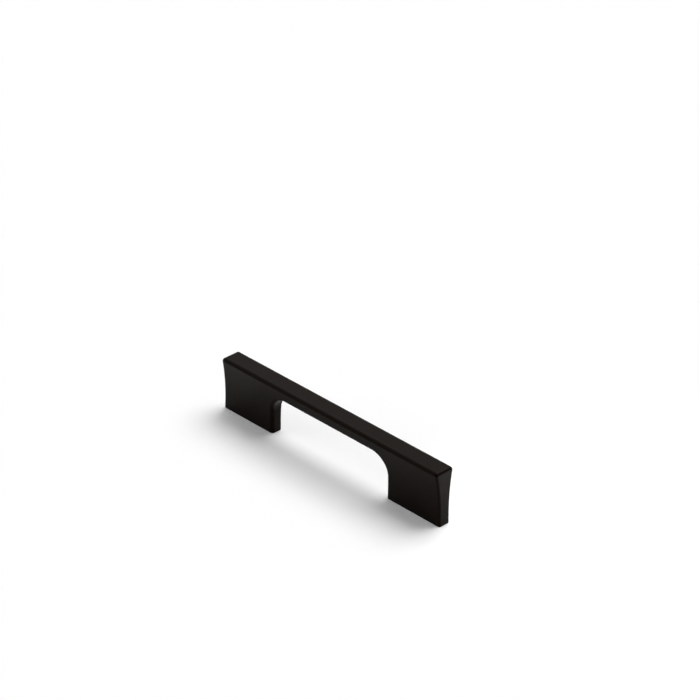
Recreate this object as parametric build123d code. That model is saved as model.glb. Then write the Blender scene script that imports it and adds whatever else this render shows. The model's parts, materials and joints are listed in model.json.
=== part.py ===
from build123d import *
from math import radians, tan
import os

# Sizes in millimetres, angles in degrees.

# Screw holes. The spacing belongs to the 32 mm system of cabinet hardware, and the screws are M4.
HOLE_SPACING = 128.0
HOLE_TO_END = 16.0
SCREW_DIAMETER = 4.0
THREAD_ROOT_CLEARANCE = 0.1
HOLE_DEPTH = 13.0
HOLE_MOUTH_CHAMFER = 0.4
DRILL_POINT_ANGLE = 118.0

# Section across the pull: upright sides at the base, then one sweep out to the wide flat top.
HEIGHT = 32.0
BASE_WIDTH = 7.4
TOP_WIDTH = 12.8
FLARE_START = 6.0

# Lean of the two ends, inward from the base to the top, by which the casting leaves its mould.
END_DRAFT_ANGLE = 1.7

# Finger gap between the two feet, under the bar.
FOOT_LENGTH = 37.7
BAR_THICKNESS = 7.6
GAP_CORNER_RADIUS = 10.6

# Softened edges of the casting.
END_EDGE_RADIUS = 1.2
RIM_RADIUS = 1.7
GAP_EDGE_RADIUS = 2.0
BASE_EDGE_RADIUS = 0.3

# Sizes that follow from those above.
LENGTH = HOLE_SPACING + 2 * HOLE_TO_END
HALF_LENGTH = LENGTH / 2
HALF_GAP = HALF_LENGTH - FOOT_LENGTH
GAP_HEIGHT = HEIGHT - BAR_THICKNESS
HOLE_RADIUS = (SCREW_DIAMETER + THREAD_ROOT_CLEARANCE) / 2

# Distance within which two places count as the same.
NEAR = 0.001


def end_faces(pull: BuildPart) -> list[Face]:
    """The faces that close the two ends of the pull."""
    along = pull.faces().sort_by(Axis.X)
    return [along[0], along[-1]]


def flared_bar() -> Part:
    """The plain bar: the flared section carried from end to end of the pull, with its ends leant in."""
    with BuildPart() as bar:
        with BuildSketch(Plane.YZ):
            with BuildLine():
                base = Line((0, 0), (BASE_WIDTH / 2, 0))
                upright = Line(base @ 1, (BASE_WIDTH / 2, FLARE_START))
                flare = TangentArc(upright @ 1, (TOP_WIDTH / 2, HEIGHT), tangent=upright % 1)
                Line(flare @ 1, (0, HEIGHT))
                mirror(about=Plane.YZ)
            make_face()
        extrude(amount=HALF_LENGTH, both=True)
        draft(end_faces(bar), Plane.XY, END_DRAFT_ANGLE)
    return bar.part


def finger_gap() -> Part:
    """The space for the fingers: straight inner walls, each turned into the bar by a full round."""
    with BuildPart() as gap:
        with BuildSketch(Plane.XZ):
            with BuildLine():
                floor = Line((0, 0), (HALF_GAP, 0))
                wall = Line(floor @ 1, (HALF_GAP, GAP_HEIGHT - GAP_CORNER_RADIUS))
                corner = TangentArc(wall @ 1, (HALF_GAP - GAP_CORNER_RADIUS, GAP_HEIGHT), tangent=wall % 1)
                Line(corner @ 1, (0, GAP_HEIGHT))
                mirror(about=Plane.YZ)
            make_face()
        extrude(amount=TOP_WIDTH, both=True)
    return gap.part


def screw_hole() -> Part:
    """One blind screw hole that opens downward at the origin, as the space that drill and tap take out."""
    mouth_radius = HOLE_RADIUS + HOLE_MOUTH_CHAMFER
    drill_point = HOLE_RADIUS / tan(radians(DRILL_POINT_ANGLE / 2))
    with BuildPart() as hole:
        with BuildSketch(Plane.XZ):
            with BuildLine():
                mouth = Line((0, 0), (mouth_radius, 0))
                chamfer_line = Line(mouth @ 1, (HOLE_RADIUS, HOLE_MOUTH_CHAMFER))
                wall = Line(chamfer_line @ 1, (HOLE_RADIUS, HOLE_DEPTH))
                point = Line(wall @ 1, (0, HOLE_DEPTH + drill_point))
                Line(point @ 1, mouth @ 0)
            make_face()
        revolve(axis=Axis.Z)
    return hole.part


def on_gap_rim(edge: Edge) -> bool:
    """Whether an edge runs along the front or the back of the finger gap."""
    place = edge.center()
    across = abs(place.Y) > NEAR
    between_feet = abs(place.X) < HALF_GAP + NEAR
    under_bar = NEAR < place.Z < GAP_HEIGHT + NEAR
    return across and between_feet and under_bar


def handle() -> Part:
    """The whole pull: the bar with its gap, its edges softened and its two holes drilled and tapped."""
    with BuildPart() as pull:
        add(flared_bar())
        ends = end_faces(pull)
        uprights = [edge for end in ends for edge in end.edges().filter_by(Axis.Y, reverse=True)]
        fillet(uprights, END_EDGE_RADIUS)
        fillet(pull.faces().sort_by(Axis.Z)[-1].edges(), RIM_RADIUS)
        add(finger_gap(), mode=Mode.SUBTRACT)
        fillet(pull.edges().filter_by(on_gap_rim), GAP_EDGE_RADIUS)
        fillet(pull.faces().group_by(Axis.Z)[0].edges(), BASE_EDGE_RADIUS)
        with Locations((-HOLE_SPACING / 2, 0, 0), (HOLE_SPACING / 2, 0, 0)):
            add(screw_hole(), mode=Mode.SUBTRACT)
    return pull.part


os.makedirs("parts", exist_ok=True)
export_step(handle(), "parts/handle.step")
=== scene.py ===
"""The looks of a drawer handle: its satin black paint, its tapped screw holes and a plain studio."""

import json
import logging
import math
from dataclasses import dataclass, field
from enum import Enum

import bmesh
import bpy
from mathutils import Matrix, Vector


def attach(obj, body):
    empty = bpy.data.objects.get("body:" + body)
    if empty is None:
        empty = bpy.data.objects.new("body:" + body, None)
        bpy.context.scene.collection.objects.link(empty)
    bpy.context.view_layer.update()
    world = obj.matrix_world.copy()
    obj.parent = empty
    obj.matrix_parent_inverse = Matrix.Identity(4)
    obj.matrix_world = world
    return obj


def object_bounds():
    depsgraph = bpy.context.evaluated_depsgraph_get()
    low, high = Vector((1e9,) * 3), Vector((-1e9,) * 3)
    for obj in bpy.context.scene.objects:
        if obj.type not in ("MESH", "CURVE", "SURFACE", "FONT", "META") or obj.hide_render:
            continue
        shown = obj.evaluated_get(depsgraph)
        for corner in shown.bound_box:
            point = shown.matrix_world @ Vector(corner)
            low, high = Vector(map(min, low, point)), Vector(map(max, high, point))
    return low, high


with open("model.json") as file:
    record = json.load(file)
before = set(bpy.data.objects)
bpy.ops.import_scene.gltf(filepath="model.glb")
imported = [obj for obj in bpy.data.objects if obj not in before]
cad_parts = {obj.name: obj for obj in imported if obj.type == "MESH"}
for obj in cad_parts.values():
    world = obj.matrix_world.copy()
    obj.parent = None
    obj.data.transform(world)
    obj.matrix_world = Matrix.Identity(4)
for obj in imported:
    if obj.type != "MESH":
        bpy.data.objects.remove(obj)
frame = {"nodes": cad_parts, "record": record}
CAD_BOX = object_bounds()

MILLIMETRE = 0.001
IMAGE_SIDE = 700
SENSOR_WIDTH = 36.0

# The heights between which most of a noise lies.
NOISE_LOW = 0.3
NOISE_HIGH = 0.7

# Where a Mix node of colours keeps its share, its two colours and its result.
MIX_INPUTS = (0, 6, 7)
MIX_RESULT = 2

log = logging.getLogger("drawer_handle")

Rgb = tuple[float, float, float]
Socket = bpy.types.NodeSocket
Level = Socket | float
Tone = Socket | Rgb


class Hand(Enum):
    """The two feet of the handle, as the sign of their place along the bar."""

    LEFT = -1
    RIGHT = 1


class Ray(Enum):
    """The kinds of ray that see the table's glow."""

    CAMERA = "Is Camera Ray"
    GLOSSY = "Is Glossy Ray"
    TRANSMISSION = "Is Transmission Ray"


class NodeBoard:
    """A material's or the world's nodes, with short ways to add and join them."""

    def __init__(self, tree: bpy.types.NodeTree) -> None:
        """Clears a node tree and takes it over.

        Args:
            tree: the node tree to fill.
        """
        tree.nodes.clear()
        self.tree = tree

    def add(self, kind: str, **values: object) -> bpy.types.Node:
        """Adds a node and sets its properties.

        Args:
            kind: Blender's name for the kind of node.
            values: properties of the node by name.

        Returns:
            The new node.
        """
        node = self.tree.nodes.new(kind)
        for name, value in values.items():
            setattr(node, name, value)
        return node

    def join(self, source: Socket, target: Socket) -> None:
        """Links an output to an input."""
        self.tree.links.new(source, target)

    def feed(self, target: Socket, value: Level | tuple[float, ...]) -> None:
        """Gives an input its value, which is a link if it comes from another node.

        Args:
            target: the input.
            value: an output to link, or a plain value to set.
        """
        if isinstance(value, Socket):
            self.join(value, target)
        else:
            target.default_value = value

    def math(self, operation: str, *inputs: Level) -> Socket:
        """Adds a Math node.

        Args:
            operation: what it works out.
            inputs: its inputs in order, as outputs to link or plain numbers.

        Returns:
            The result.
        """
        node = self.add("ShaderNodeMath", operation=operation)
        for socket, value in zip(node.inputs, inputs):
            self.feed(socket, value)
        return node.outputs["Value"]

    def noise(self, place: Socket, grain: float, detail: float) -> Socket:
        """Adds an even noise.

        Args:
            place: the coordinates that it reads.
            grain: the size of one blotch, in metres.
            detail: how many finer layers it holds.

        Returns:
            The noise's height, from 0 to 1.
        """
        node = self.add("ShaderNodeTexNoise")
        node.inputs["Scale"].default_value = 1 / grain
        node.inputs["Detail"].default_value = detail
        self.join(place, node.inputs["Vector"])
        return node.outputs["Fac"]

    def spread(self, value: Socket, low: float, high: float) -> Socket:
        """Maps the middle of a noise's heights to a range.

        Args:
            value: the noise's height.
            low: what its low parts become.
            high: what its high parts become.

        Returns:
            The mapped value.
        """
        node = self.add("ShaderNodeMapRange")
        self.join(value, node.inputs["Value"])
        levels = {"From Min": NOISE_LOW, "From Max": NOISE_HIGH, "To Min": low, "To Max": high}
        for name, level in levels.items():
            node.inputs[name].default_value = level
        return node.outputs["Result"]

    def blend(self, share: Level, first: Tone, second: Tone) -> Socket:
        """Mixes two colours.

        Args:
            share: how much of the second shows.
            first: the colour where the share is 0.
            second: the colour where the share is 1.

        Returns:
            The mixed colour.
        """
        node = self.add("ShaderNodeMix", data_type="RGBA")
        factor, start, end = (node.inputs[place] for place in MIX_INPUTS)
        self.feed(factor, share)
        for socket, colour in ((start, first), (end, second)):
            self.feed(socket, (*colour, 1.0) if isinstance(colour, tuple) else colour)
        return node.outputs[MIX_RESULT]

    def bump(self, height: Socket, depth: float) -> Socket:
        """Adds a Bump node.

        Args:
            height: the relief, from 0 to 1.
            depth: how deep a relief of 1 is, in metres.

        Returns:
            The normal.
        """
        node = self.add("ShaderNodeBump")
        node.inputs["Distance"].default_value = depth
        self.join(height, node.inputs["Height"])
        return node.outputs["Normal"]


@dataclass(frozen=True)
class SatinPaint:
    """Baked satin black paint on the casting, with bare zinc where the screw holes are cut."""

    name: str = "satin_black_paint"
    colour: Rgb = (0.0072, 0.0040, 0.0029)
    deep_colour: Rgb = (0.0062, 0.0034, 0.0025)
    shine: float = 0.06
    tint: Rgb = (0.40, 0.38, 0.30)
    smooth_roughness: float = 0.29
    dull_roughness: float = 0.35
    patch: float = 7 * MILLIMETRE
    patch_detail: float = 3.0
    grain: float = 0.45 * MILLIMETRE
    grain_detail: float = 1.0
    grain_depth: float = 0.012 * MILLIMETRE

    def material(self, bore: "Bore", zinc: "BareZinc") -> bpy.types.Material:
        """Makes the paint.

        Args:
            bore: the screw holes, where the metal is bare.
            zinc: the bare metal's finish.

        Returns:
            The material.
        """
        made = bpy.data.materials.new(self.name)
        made.use_nodes = True
        board = NodeBoard(made.node_tree)
        place = board.add("ShaderNodeTexCoord").outputs["Object"]
        patches = board.noise(place, self.patch, self.patch_detail)
        grain = board.noise(place, self.grain, self.grain_detail)
        bare = self.bare_share(board, place, bore)
        shader = board.add("ShaderNodeBsdfPrincipled")
        paint_colour = board.blend(board.spread(patches, 0, 1), self.deep_colour, self.colour)
        paint_roughness = board.spread(patches, self.smooth_roughness, self.dull_roughness)
        rougher = board.math("MULTIPLY", bare, zinc.roughness - self.smooth_roughness)
        board.join(board.blend(bare, paint_colour, zinc.colour), shader.inputs["Base Color"])
        board.join(board.math("ADD", paint_roughness, rougher), shader.inputs["Roughness"])
        board.join(bare, shader.inputs["Metallic"])
        board.join(board.bump(grain, self.grain_depth), shader.inputs["Normal"])
        shader.inputs["Specular IOR Level"].default_value = self.shine
        shader.inputs["Specular Tint"].default_value = (*self.tint, 1.0)
        output = board.add("ShaderNodeOutputMaterial")
        board.join(shader.outputs["BSDF"], output.inputs["Surface"])
        return made

    @staticmethod
    def bare_share(board: NodeBoard, place: Socket, bore: "Bore") -> Socket:
        """Works out where the metal is bare: in each screw hole and on its mouth.

        Args:
            board: the material's nodes.
            place: the object's own coordinates.
            bore: the screw holes.

        Returns:
            1 on bare metal and 0 on paint.
        """
        parts = board.add("ShaderNodeSeparateXYZ")
        board.join(place, parts.inputs["Vector"])
        along = board.math("SUBTRACT", board.math("ABSOLUTE", parts.outputs["X"]), bore.offset)
        along_squared = board.math("MULTIPLY", along, along)
        across_squared = board.math("MULTIPLY", parts.outputs["Y"], parts.outputs["Y"])
        distance = board.math("SQRT", board.math("ADD", along_squared, across_squared))
        near_axis = board.math("LESS_THAN", distance, bore.bare_radius)
        above_bottom = board.math("GREATER_THAN", parts.outputs["Z"], bore.bare_bottom)
        below_top = board.math("LESS_THAN", parts.outputs["Z"], bore.bare_top)
        return board.math("MULTIPLY", near_axis, board.math("MULTIPLY", above_bottom, below_top))


@dataclass(frozen=True)
class BareZinc:
    """Zinc casting alloy as the tap leaves it."""

    name: str = "bare_zinc"
    colour: Rgb = (0.50, 0.50, 0.51)
    shade: float = 0.8
    roughness: float = 0.38
    roughness_swing: float = 0.06
    streak: float = 0.2 * MILLIMETRE
    streak_detail: float = 2.0
    streak_depth: float = 0.01 * MILLIMETRE

    def material(self) -> bpy.types.Material:
        """Makes the metal.

        Returns:
            The material.
        """
        made = bpy.data.materials.new(self.name)
        made.use_nodes = True
        board = NodeBoard(made.node_tree)
        place = board.add("ShaderNodeTexCoord").outputs["Object"]
        marks = board.noise(place, self.streak, self.streak_detail)
        shader = board.add("ShaderNodeBsdfPrincipled")
        shaded = tuple(self.shade * part for part in self.colour)
        smoother, rougher = self.roughness - self.roughness_swing, self.roughness + self.roughness_swing
        board.join(board.blend(marks, shaded, self.colour), shader.inputs["Base Color"])
        board.join(board.spread(marks, smoother, rougher), shader.inputs["Roughness"])
        board.join(board.bump(marks, self.streak_depth), shader.inputs["Normal"])
        shader.inputs["Metallic"].default_value = 1.0
        output = board.add("ShaderNodeOutputMaterial")
        board.join(shader.outputs["BSDF"], output.inputs["Surface"])
        return made


@dataclass(frozen=True)
class WhiteTable:
    """The pale matt top that the handle stands on."""

    name: str = "white_table"
    colour: Rgb = (0.9, 0.9, 0.9)
    roughness: float = 1.0
    shine: float = 0.0
    glow_colour: Rgb = (1.0, 1.0, 1.0)
    glow: float = 0.12

    def material(self) -> bpy.types.Material:
        """Makes the table's white, which shows a little brighter than the lamps make it.

        Returns:
            The material.
        """
        made = bpy.data.materials.new(self.name)
        made.use_nodes = True
        board = NodeBoard(made.node_tree)
        path = board.add("ShaderNodeLightPath")
        seen: Level = 0.0
        for ray in Ray:
            seen = board.math("MAXIMUM", seen, path.outputs[ray.value])
        shader = board.add("ShaderNodeBsdfPrincipled")
        shader.inputs["Base Color"].default_value = (*self.colour, 1.0)
        shader.inputs["Roughness"].default_value = self.roughness
        shader.inputs["Specular IOR Level"].default_value = self.shine
        shader.inputs["Emission Color"].default_value = (*self.glow_colour, 1.0)
        board.join(board.math("MULTIPLY", seen, self.glow), shader.inputs["Emission Strength"])
        output = board.add("ShaderNodeOutputMaterial")
        board.join(shader.outputs["BSDF"], output.inputs["Surface"])
        return made


def mesh_object(name: str, bm: bmesh.types.BMesh) -> bpy.types.Object:
    """Turns a bmesh into an object in the scene, at the origin, with its normals outward.

    Args:
        name: the piece's name.
        bm: the finished bmesh, which is freed.

    Returns:
        The object.
    """
    bmesh.ops.recalc_face_normals(bm, faces=bm.faces)
    data = bpy.data.meshes.new(name)
    bm.to_mesh(data)
    bm.free()
    made = bpy.data.objects.new(name, data)
    bpy.context.scene.collection.objects.link(made)
    return made


def direction(azimuth: float, elevation: float) -> Vector:
    """The way from the handle to something that stands round it.

    Args:
        azimuth: degrees round from the front, with 90 on the right.
        elevation: degrees above the table.

    Returns:
        A vector of length 1.
    """
    turn, rise = math.radians(azimuth), math.radians(elevation)
    return Vector((math.sin(turn) * math.cos(rise), -math.cos(turn) * math.cos(rise), math.sin(rise)))


@dataclass(frozen=True)
class Bore:
    """The two screw holes, alike but for the side that they are on."""

    offset: float
    radius: float
    mouth_chamfer: float = 0.4 * MILLIMETRE
    # How far past the edge of the mouth, and between which heights, the metal counts as bare.
    paint_margin: float = 0.02 * MILLIMETRE
    bare_bottom: float = 0.002 * MILLIMETRE
    bare_top: float = 18 * MILLIMETRE

    @classmethod
    def from_frame(cls) -> "Bore":
        """Reads the holes' place and radius from the frame's record.

        Returns:
            The screw holes.
        """
        sizes = next(m for m in frame["record"]["mounts"] if m["kind"] == "bolt_pattern")["dims"]
        return cls(sizes["spacing_x_mm"] * MILLIMETRE / 2, sizes["hole_r_mm"] * MILLIMETRE)

    @property
    def bare_radius(self) -> float:
        """How far from a hole's axis the metal is bare, in metres."""
        return self.radius + self.mouth_chamfer + self.paint_margin


@dataclass
class Casting:
    """The handle's one casting, as the frame holds it."""

    bore: Bore
    node: str = "handle"
    paint: SatinPaint = field(default_factory=SatinPaint)
    zinc: BareZinc = field(default_factory=BareZinc)

    def dress(self) -> bpy.types.Object:
        """Paints the casting.

        Returns:
            The casting's object.
        """
        made = frame["nodes"][self.node]
        made.data.materials.clear()
        made.data.materials.append(self.paint.material(self.bore, self.zinc))
        return made


@dataclass
class ScrewThread:
    """The ridge of the M4 thread that lines one screw hole."""

    hand: Hand
    bore: Bore
    pitch: float = 0.7 * MILLIMETRE
    crest_radius: float = 1.62 * MILLIMETRE
    crest_width: float = 0.175 * MILLIMETRE
    root_width: float = 0.62 * MILLIMETRE
    # How far the root of the ridge is set into the wall of the hole.
    bite: float = 0.02 * MILLIMETRE
    # Height of the first turn above the base, and the rise from there to the last.
    start: float = 0.75 * MILLIMETRE
    length: float = 11.2 * MILLIMETRE
    steps_per_turn: int = 32
    # Turns over which the crest sinks into the wall at each end, and the share of it left there.
    runout_turns: float = 0.6
    least_share: float = 0.1
    # Two faces that meet at more than this many degrees keep a crisp edge.
    crisp_angle: float = 35.0

    @property
    def name(self) -> str:
        """The piece's name."""
        return f"screw_thread_{self.hand.name.lower()}"

    def build(self) -> bpy.types.Object:
        """Winds the ridge's section up the hole.

        Returns:
            The thread's object.
        """
        centre_x = self.hand.value * self.bore.offset
        wall = self.bore.radius + self.bite
        bm = bmesh.new()
        outline = (
            (wall, -self.root_width / 2),
            (self.crest_radius, -self.crest_width / 2),
            (self.crest_radius, self.crest_width / 2),
            (wall, self.root_width / 2),
        )
        corners = [bm.verts.new((centre_x + r, 0, self.start + z)) for r, z in outline]
        section = bm.faces.new(corners)
        turns = self.length / self.pitch
        steps = round(turns * self.steps_per_turn)
        bmesh.ops.spin(
            bm,
            geom=[section, *section.edges, *section.verts],
            cent=(centre_x, 0, 0),
            axis=(0, 0, 1),
            dvec=(0, 0, self.pitch / self.steps_per_turn),
            angle=math.tau * turns,
            steps=steps,
        )
        for vert in bm.verts:
            self.run_out(vert, Vector((centre_x, 0)), wall, turns)
        return mesh_object(self.name, bm)

    def run_out(self, vert: bmesh.types.BMVert, axis: Vector, wall: float, turns: float) -> None:
        """Lets the crest sink into the wall near the two ends of the ridge, as a tap leaves it.

        Args:
            vert: one corner of the ridge's section.
            axis: the hole's axis, seen from above.
            wall: the radius of the ridge's root.
            turns: how many times the ridge goes round.
        """
        turn = (vert.co.z - self.start) / self.pitch
        turns_to_end = min(turn, turns - turn)
        share = max(self.least_share, min(1.0, turns_to_end / self.runout_turns))
        arm = vert.co.xy - axis
        reach = wall - (wall - arm.length) * share
        vert.co.xy = axis + arm.normalized() * reach

    def dress(self, made: bpy.types.Object, zinc: BareZinc) -> None:
        """Gives the thread its bare metal and its place on the handle.

        Args:
            made: the thread's object.
            zinc: the metal's finish.
        """
        made.data.materials.append(zinc.material())
        made.data.shade_smooth()
        made.data.set_sharp_from_angle(angle=math.radians(self.crisp_angle))
        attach(made, "root")


@dataclass(frozen=True)
class SoftLamp:
    """A broad studio lamp, far enough off to light the whole table evenly."""

    name: str
    azimuth: float
    elevation: float
    # Light on a face turned to the lamp, and the angle that the lamp fills, in degrees.
    light: float
    breadth: float = 45.0

    def place(self) -> bpy.types.Object:
        """Puts the lamp in the scene.

        Returns:
            The lamp's object.
        """
        lamp = bpy.data.lights.new(self.name, "SUN")
        lamp.energy = self.light
        lamp.angle = math.radians(self.breadth)
        made = bpy.data.objects.new(self.name, lamp)
        way = direction(self.azimuth, self.elevation)
        made.location = way
        made.rotation_euler = way.to_track_quat("Z", "Y").to_euler()
        bpy.context.scene.collection.objects.link(made)
        return made


@dataclass(frozen=True)
class SoftBox:
    """A small lamp close over the table, which brightens what one side of the handle mirrors."""

    name: str
    # Place and diameter in metres, angle of the beam in degrees, power in watts.
    spot: tuple[float, float, float]
    size: float
    spread: float
    power: float

    def place(self) -> bpy.types.Object:
        """Puts the lamp in the scene, facing straight down.

        Returns:
            The lamp's object.
        """
        lamp = bpy.data.lights.new(self.name, "AREA")
        lamp.shape = "DISK"
        lamp.size = self.size
        lamp.spread = math.radians(self.spread)
        lamp.energy = self.power
        made = bpy.data.objects.new(self.name, lamp)
        made.location = self.spot
        bpy.context.scene.collection.objects.link(made)
        return made


@dataclass(frozen=True)
class Viewpoint:
    """Where the camera stands and what it looks at."""

    azimuth: float = 44.943
    elevation: float = 30.108
    roll: float = 0.952
    focal_pixels: float = 2750.4
    # Pixels to a metre at the middle of the handle, and where in the image that middle is seen.
    pixels_per_metre: float = 1934.9
    seen_at: tuple[float, float] = (333.59, 436.74)

    def place(self, centre: Vector) -> bpy.types.Object:
        """Puts the camera in the scene.

        Args:
            centre: the middle of the handle.

        Returns:
            The camera's object.
        """
        back = direction(self.azimuth, self.elevation)
        turn = math.radians(self.azimuth)
        level_right = Vector((math.cos(turn), math.sin(turn), 0))
        level_up = back.cross(level_right)
        rolled = math.radians(self.roll)
        right = level_right * math.cos(rolled) + level_up * math.sin(rolled)
        up = level_up * math.cos(rolled) - level_right * math.sin(rolled)
        aside = (IMAGE_SIDE / 2 - self.seen_at[0]) / self.pixels_per_metre
        above = (self.seen_at[1] - IMAGE_SIDE / 2) / self.pixels_per_metre
        eye = centre + back * (self.focal_pixels / self.pixels_per_metre) + right * aside + up * above
        camera = bpy.data.cameras.new("camera")
        camera.sensor_width = SENSOR_WIDTH
        camera.lens = self.focal_pixels / IMAGE_SIDE * SENSOR_WIDTH
        made = bpy.data.objects.new("camera", camera)
        made.matrix_world = Matrix.Translation(eye) @ Matrix((right, up, back)).transposed().to_4x4()
        bpy.context.scene.collection.objects.link(made)
        bpy.context.scene.camera = made
        return made


@dataclass
class Studio:
    """The table, the lamps, the room and the camera."""

    table: WhiteTable = field(default_factory=WhiteTable)
    table_half: float = 12.0
    room_colour: Rgb = (0.1, 0.1, 0.1)
    lamps: tuple[SoftLamp | SoftBox, ...] = (
        SoftLamp("back_lamp", azimuth=180.0, elevation=60.0, light=2.22),
        SoftLamp("back_left_lamp", azimuth=240.0, elevation=45.0, light=0.65),
        SoftLamp("front_left_lamp", azimuth=300.0, elevation=30.0, light=0.76),
        SoftBox("right_box", spot=(0.16, 0.07, 0.2), size=0.12, spread=50.0, power=0.125),
    )
    viewpoint: Viewpoint = field(default_factory=Viewpoint)

    def build(self, centre: Vector) -> None:
        """Sets up everything round the handle.

        Args:
            centre: the middle of the handle.
        """
        self.lay_table()
        self.light_room()
        for lamp in self.lamps:
            lamp.place()
        self.viewpoint.place(centre)
        bpy.context.scene.view_settings.view_transform = "Standard"

    def lay_table(self) -> None:
        """Makes the table top under the handle."""
        bm = bmesh.new()
        bmesh.ops.create_grid(bm, x_segments=1, y_segments=1, size=self.table_half)
        top = mesh_object("table", bm)
        top.data.materials.append(self.table.material())

    def light_room(self) -> None:
        """Gives the room its even dim light."""
        world = bpy.data.worlds.new("room")
        world.use_nodes = True
        board = NodeBoard(world.node_tree)
        air = board.add("ShaderNodeBackground")
        air.inputs["Color"].default_value = (*self.room_colour, 1.0)
        output = board.add("ShaderNodeOutputWorld")
        board.join(air.outputs["Background"], output.inputs["Surface"])
        bpy.context.scene.world = world


def main() -> None:
    """Paints the casting, cuts its threads and sets up the studio."""
    logging.basicConfig(level=logging.INFO, format="%(message)s")
    casting = Casting(Bore.from_frame())
    log.info("dressed %s", casting.dress().name)
    for hand in Hand:
        thread = ScrewThread(hand, casting.bore)
        made = thread.build()
        thread.dress(made, casting.zinc)
        log.info("made %s", made.name)
    low, high = CAD_BOX
    Studio().build((low + high) / 2)
    log.info("set up the studio")


if __name__ == "__main__":
    main()
